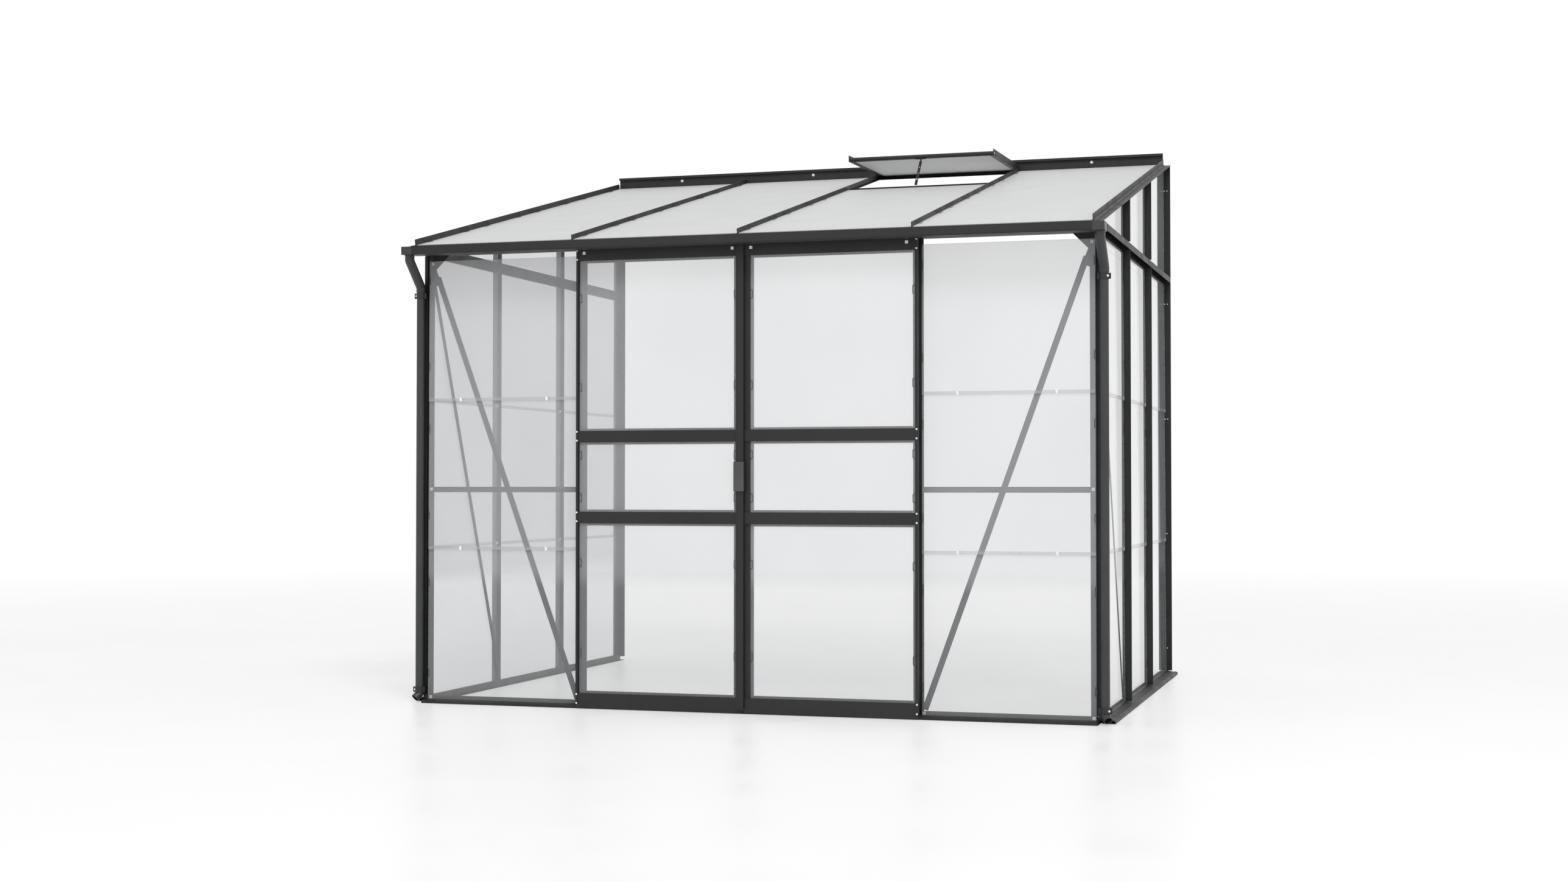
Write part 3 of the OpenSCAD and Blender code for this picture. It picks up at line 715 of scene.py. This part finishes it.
heads = bmesh.new()
for hand, _ in HANDS:
    for x, z, rise in SQUARE_HEADS:
        bolt(heads, at(hand * x, LEDGE_Y, z), -Y_AXIS, SQUARE, SQUARE_R, rise)
    for x in PLATE_BOLT_X:
        bolt(heads, at(hand * x, BACK_FACE, PLATE_BOLT_Z), -Y_AXIS, *PLATE_BOLT)
    for z in BACK_PAIR_Z:
        for x in BACK_PAIR_X:
            bolt(heads, at(hand * x, BACK_FACE, z), -Y_AXIS, *BACK_BOLT)
    for z in BACK_SINGLE_Z:
        bolt(heads, at(hand * BACK_SINGLE_X, BACK_FACE, z), -Y_AXIS, *BACK_BOLT)
    for z in RING_Z:
        face = Vector((hand * math.cos(RING_TURN), math.sin(RING_TURN), 0))
        foot = at(hand * PIPE_AXIS[0], PIPE_AXIS[1], z) + face * ((RING_R - RING_SINK) * MM)
        bolt(heads, foot, face, *RING_BOLT)
piece("frame_bolts", heads, [zinc], "house")


# side eave rails: a plate behind the glass, a sloping top, a tall outer face and a short lower lip
RAIL_RUN = (79.3, 1916.7)
FACE_RUN = (1917.0, 1960.5)
RAIL_IN = 1230
FACE_X = (1260, 1262)
FACE_LOW = 1650
RAIL_TOP = (1673, 1679)
RAIL_UNDER = (1671.4, 1676.6)
PLATE_LOW = 1639
LOW_LIP_X = 1240
LOW_LIP_Z = (1637, 1639.4)
LOW_LIP_ROOT = (1643.6, 1646)
FACE_TOP_SINK = 0.4
FACE_PART = [
    (FACE_X[0], RAIL_UNDER[0]),
    (FACE_X[0], FACE_LOW),
    (FACE_X[1], FACE_LOW),
    (FACE_X[1], RAIL_TOP[0]),
]
RAIL_OUTLINE = [
    (RAIL_IN, PLATE_LOW),
    (WALL_X, PLATE_LOW),
    (WALL_X, LOW_LIP_ROOT[0]),
    (LOW_LIP_X, LOW_LIP_Z[0]),
    (LOW_LIP_X, LOW_LIP_Z[1]),
    (WALL_X, LOW_LIP_ROOT[1]),
    (WALL_X, RAIL_UNDER[1]),
    *FACE_PART,
    (RAIL_IN, RAIL_TOP[1]),
]
FACE_OUTLINE = [
    (WALL_X + SEAT, RAIL_UNDER[1]),
    *FACE_PART,
    (WALL_X + SEAT, RAIL_TOP[1] - FACE_TOP_SINK),
]
# the outline's edges inside the rail, which carry painted shade: the plate above the lip, the top's
# underside, the face's back
IN_SHADE = slice(5, 8)
BAR_HALF = 12.5
BAR_HEAD = 1607.9
PANE_HEAD = 1640.4
HEAD_BAND = 3
FACING_UP = 0.9
# the top of a wall bar up to the rail, its ledge and its fin: from x, to x, half its width, top
BAR_HEADS = (
    (RAIL_IN, WALL_X, BAR_HALF, PLATE_LOW - SEAT),
    (WALL_X, FACE_X[1], FIN_HALF, FACE_LOW - SEAT),
)


def run_along(bm, hand, outline, ends):
    """An outline across the wall, given as (x, z), run from front to back."""
    return skin(bm, [[at(hand * x, y, z) for x, z in outline] for y in ends])


def bar_head(bm, hand, y):
    """The top of a wall bar up to the rail."""
    for x0, x1, half, top in BAR_HEADS:
        outline = [(x0, BAR_HEAD), (x1, BAR_HEAD), (x1, top), (x0, top)]
        run_along(bm, hand, outline, (y - half, y + half))


def head_corners(mesh):
    """The corners of the side panes' cut edges below the rail, four for each bay."""
    corners = set()
    for face in mesh.polygons:
        if face.normal.z > FACING_UP and face.center.z > (BAR_HEAD - HEAD_BAND) * MM:
            face.material_index = 0
            corners |= {tuple(round(c, 5) for c in mesh.vertices[i].co.xy) for i in face.vertices}
    ordered = sorted(corners, key=lambda corner: corner[1])
    return [ordered[i:i + 4] for i in range(0, len(ordered), 4)]


def pane_head(bm, corners):
    """A side pane's strip from its head up to the rail's lower lip; its two ends are cut edges."""
    x0, x1 = min(x for x, y in corners), max(x for x, y in corners)
    y0, y1 = min(y for x, y in corners), max(y for x, y in corners)
    outline = [(x0, y0), (x1, y0), (x1, y1), (x0, y1)]
    sides = skin(bm, [[Vector((x, y, z * MM)) for x, y in outline] for z in (BAR_HEAD, PANE_HEAD)])
    for end in (sides[0], sides[2]):
        end.material_index = 1


for hand, name in HANDS:
    rail = bmesh.new()
    # the inner faces get the painted shade coat
    for face in run_along(rail, hand, RAIL_OUTLINE, RAIL_RUN)[IN_SHADE]:
        face.material_index = 1
    run_along(rail, hand, FACE_OUTLINE, FACE_RUN)
    for y in BAR_Y:
        bar_head(rail, hand, y)
    obj = piece(name + "_side_rail", rail, [coat, shade_coat], "house")
    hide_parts(name + "_eave_rail")
    heads = bmesh.new()
    for corners in head_corners(frame["nodes"][name + "_wall_glass"].data):
        pane_head(heads, corners)
    piece(name + "_pane_heads", heads, [glass, glass_edge], "house")


# downpipes: a bent neck with its socket, and a run that ends in a shoe turned to the front corner
PIPE_SIDES = 40
NECK_RADII = (17, 15.1)
RUN_RADII = (15, 13)
SPOUT_Y = -61
NECK_TOP = (1632.7, 1622)
NECK_BENDS = (1614, 1523)
SOCKET = (1513, 1505)
BEND = 8.5
NECK_YZ = (
    (SPOUT_Y, NECK_TOP[0]),
    (SPOUT_Y, NECK_TOP[1]),
    (SPOUT_Y, NECK_BENDS[0]),
    (SPOUT_Y + BEND, NECK_BENDS[0] - BEND),
    (PIPE_AXIS[1] - BEND, NECK_BENDS[1] + BEND),
    (PIPE_AXIS[1], NECK_BENDS[1]),
    (PIPE_AXIS[1], SOCKET[0]),
    (PIPE_AXIS[1], SOCKET[1]),
)
RUN_TOP = 1520
SHOE_BEND = (38, 31)
# the shoe's points from its bend: just after it, and at its mouth
SHOE = ((2.6, -3.7, -3.9), (10.5, -15, -15.5))
RUN = (
    (*PIPE_AXIS, RUN_TOP),
    (*PIPE_AXIS, SHOE_BEND[0]),
    (*PIPE_AXIS, SHOE_BEND[1]),
    *((PIPE_AXIS[0] + dx, PIPE_AXIS[1] + dy, SHOE_BEND[1] + dz) for dx, dy, dz in SHOE),
)

for hand, name in HANDS:
    pipes = bmesh.new()
    tube(pipes, [at(hand * PIPE_AXIS[0], y, z) for y, z in NECK_YZ], NECK_RADII, PIPE_SIDES)
    tube(pipes, [at(hand * x, y, z) for x, y, z in RUN], RUN_RADII, PIPE_SIDES)
    obj = piece(name + "_pipe", pipes, [pipe], "house")
    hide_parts(name + "_downpipe")


# corner posts: the rolled outer edge beside the downpipe
LIP_X = (1245.8, 1250.5)
LIP_Y = (47.5, 49.5)
LIP_Z = (12.6, EAVE_Z - 0.6)


def rolled_edge(bm, hand):
    """A flat edge with a rounded rim, drawn across and run up the post."""
    (x0, x1), (y0, y1) = LIP_X, LIP_Y
    outline = [(x0, y0), (x1 - ROLL, y0), (x1, y0 + ROLL), (x1, y1 - ROLL), (x1 - ROLL, y1), (x0, y1)]
    skin(bm, [[at(hand * x, y, z) for x, y in outline] for z in LIP_Z])


edges = bmesh.new()
for hand, _ in HANDS:
    rolled_edge(edges, hand)
piece("corner_post_edges", edges, [coat], "house")


# verge bars: a wider outer lip, a rounded crown on the fin and a hollow fillet between the two
VERGE_RUN = (-59, 1957)
VERGE_LIP = (1258.05, 1265.5)
VERGE_PLATE = 2
VERGE_FIN = (1233, 1235)
VERGE_CROWN = (21.05, 25.5)
FILLET = 7
FILLET_STEPS = 6
FILLET_GAP = 0.05


def run_up_roof(bm, hand, outline):
    """An outline across the roof, given as (x, height over it), run from the gutter to the wall."""
    rings = []
    for y in VERGE_RUN:
        rings.append([at(hand * x, y, roof_z(y)) + OFF_ROOF * (n * MM) for x, n in outline])
    skin(bm, rings)


def verge_edges(bm, hand):
    """The lip, the crown and the fillet of one verge bar."""
    (x0, x1), n0 = VERGE_LIP, -VERGE_PLATE
    lip = [(x0, n0), (x1 - ROLL, n0), (x1, n0 + ROLL), (x1, -ROLL), (x1 - ROLL, 0), (x0, 0)]
    run_up_roof(bm, hand, lip)
    (x0, x1), (n0, n1) = VERGE_FIN, VERGE_CROWN
    crown = [(x0, n0), (x1, n0), (x1, n1 - ROLL), (x1 - ROLL, n1), (x0 + ROLL, n1), (x0, n1 - ROLL)]
    run_up_roof(bm, hand, crown)
    x0, n0 = x1 + FILLET_GAP, FILLET_GAP
    hollow = [(x0, n0)]
    for i in range(FILLET_STEPS, -1, -1):
        turn = math.pi / 2 * (2 + i / FILLET_STEPS)
        hollow.append((x0 + FILLET + FILLET * math.cos(turn), n0 + FILLET + FILLET * math.sin(turn)))
    run_up_roof(bm, hand, hollow)


edges = bmesh.new()
for hand, _ in HANDS:
    verge_edges(edges, hand)
piece("verge_edges", edges, [coat], "house")


# vent: screws at the corners of its frame
VENT_OPEN_DEG = 11.9
VENT_TILT = math.radians(ROOF_DEG - VENT_OPEN_DEG)
UP_VENT = Vector((0, math.cos(VENT_TILT), math.sin(VENT_TILT)))
OFF_VENT = Vector((0, -math.sin(VENT_TILT), math.cos(VENT_TILT)))
HINGE_Y = 1957
HINGE_RISE = 21.3
HINGE = at(0, HINGE_Y, roof_z(HINGE_Y) + HINGE_RISE)
VENT_FACES = ((5, -1), (615, 1))
VENT_SCREW_UP = (-547, -8)
VENT_SCREW_OFF = -8.5

heads = bmesh.new()
for x, out in VENT_FACES:
    for up in VENT_SCREW_UP:
        origin = HINGE + X_AXIS * (x * MM) + UP_VENT * (up * MM) + OFF_VENT * (VENT_SCREW_OFF * MM)
        bolt(heads, origin, X_AXIS * out, *VENT_SCREW)
piece("vent_bolts", heads, [zinc], "house")


# studio: pale floor, white surroundings, one soft lamp from the upper front right
WORLD_LIGHT = 0.78
KEY_PLACE = (3.3, -6.4, 9.3)
KEY_TARGET = (0, 0, 1.0)
KEY_SIZE = 3.0
KEY_WATTS = 500
FLOOR_R = 60.0
FLOOR_SIDES = 96
FLOOR_DROP = 0.0005
FLOOR_CLOUD = 0.6
FLOOR_DARK = (0.86, 0.86, 0.86)
FLOOR_LIGHT = (0.89, 0.89, 0.89)
FLOOR_DRIFT = 3.0
FLOOR_ROUGH = (0.3, 0.4)
# share of plain white on the floor near the house, and the span over which it grows to all
FLOOR_WHITE = 0.42
FLOOR_FADE = (4.0, 12.0)


def seen_ray(nodes, links):
    """1 for a ray that is seen, mirrored or let through, 0 for plain light."""
    path = nodes.new("ShaderNodeLightPath")
    seen = path.outputs["Is Camera Ray"]
    for other in ("Is Glossy Ray", "Is Transmission Ray"):
        either = nodes.new("ShaderNodeMath")
        either.operation = "MAXIMUM"
        links.new(seen, either.inputs[0])
        links.new(path.outputs[other], either.inputs[1])
        seen = either.outputs[0]
    return seen


def studio_world():
    """White where it is seen or mirrored, and a plain light elsewhere."""
    world = bpy.data.worlds.new("studio")
    bpy.context.scene.world = world
    world.use_nodes = True
    nodes, links = world.node_tree.nodes, world.node_tree.links
    strength = ramp(nodes, links, seen_ray(nodes, links), WORLD_LIGHT, 1.0, 0.0, 1.0)
    links.new(strength, nodes["Background"].inputs["Strength"])
    nodes["Background"].inputs["Color"].default_value = (1, 1, 1, 1)


def key_lamp():
    """One round lamp, turned to the house."""
    light = bpy.data.lights.new("key", "AREA")
    light.shape = "DISK"
    light.size = KEY_SIZE
    light.energy = KEY_WATTS
    obj = bpy.data.objects.new("key", light)
    obj.location = KEY_PLACE
    obj.rotation_euler = (Vector(KEY_TARGET) - Vector(KEY_PLACE)).to_track_quat("-Z", "Y").to_euler()
    bpy.context.scene.collection.objects.link(obj)


def floor_finish():
    """Pale floor that keeps the shadow and goes over into the white surroundings from a distance on."""
    mat, nodes, links, bsdf = shader("studio_floor")
    cloudy = noise(nodes, links, FLOOR_CLOUD)
    links.new(ramp(nodes, links, cloudy, FLOOR_DARK, FLOOR_LIGHT), bsdf.inputs["Base Color"])
    drift = noise(nodes, links, FLOOR_DRIFT)
    links.new(ramp(nodes, links, drift, *FLOOR_ROUGH), bsdf.inputs["Roughness"])
    white = nodes.new("ShaderNodeEmission")
    place = nodes.new("ShaderNodeTexCoord")
    span = nodes.new("ShaderNodeVectorMath")
    span.operation = "LENGTH"
    links.new(place.outputs["Object"], span.inputs[0])
    share = ramp(nodes, links, span.outputs["Value"], FLOOR_WHITE, 1.0, *FLOOR_FADE)
    both = nodes.new("ShaderNodeMixShader")
    links.new(product(nodes, links, share, seen_ray(nodes, links)), both.inputs["Fac"])
    links.new(bsdf.outputs["BSDF"], both.inputs[1])
    links.new(white.outputs["Emission"], both.inputs[2])
    links.new(both.outputs["Shader"], nodes["Material Output"].inputs["Surface"])
    return mat


def studio_floor():
    """A wide round floor just under the sills."""
    bm = bmesh.new()
    bmesh.ops.create_circle(bm, cap_ends=True, segments=FLOOR_SIDES, radius=FLOOR_R)
    mesh = bpy.data.meshes.new("floor")
    bm.to_mesh(mesh)
    bm.free()
    mesh.materials.append(floor_finish())
    floor = bpy.data.objects.new("floor", mesh)
    floor.location = (0, 0, -FLOOR_DROP)
    bpy.context.scene.collection.objects.link(floor)


studio_world()
key_lamp()
studio_floor()

# camera: the photograph's place and angle
CAMERA_PLACE = (2.2343, -7.7717, 0.7934)
CAMERA_PITCH = math.radians(91.245)
CAMERA_TURN = math.radians(16.949)

camera = bpy.data.cameras.new("camera")
camera.lens = 47.32
camera.sensor_width = 36
camera.sensor_fit = "HORIZONTAL"
camera.clip_end = 300
view = bpy.data.objects.new("camera", camera)
view.location = CAMERA_PLACE
view.rotation_euler = (CAMERA_PITCH, 0, CAMERA_TURN)
bpy.context.scene.collection.objects.link(view)
bpy.context.scene.camera = view
bpy.context.scene.view_settings.view_transform = "Standard"
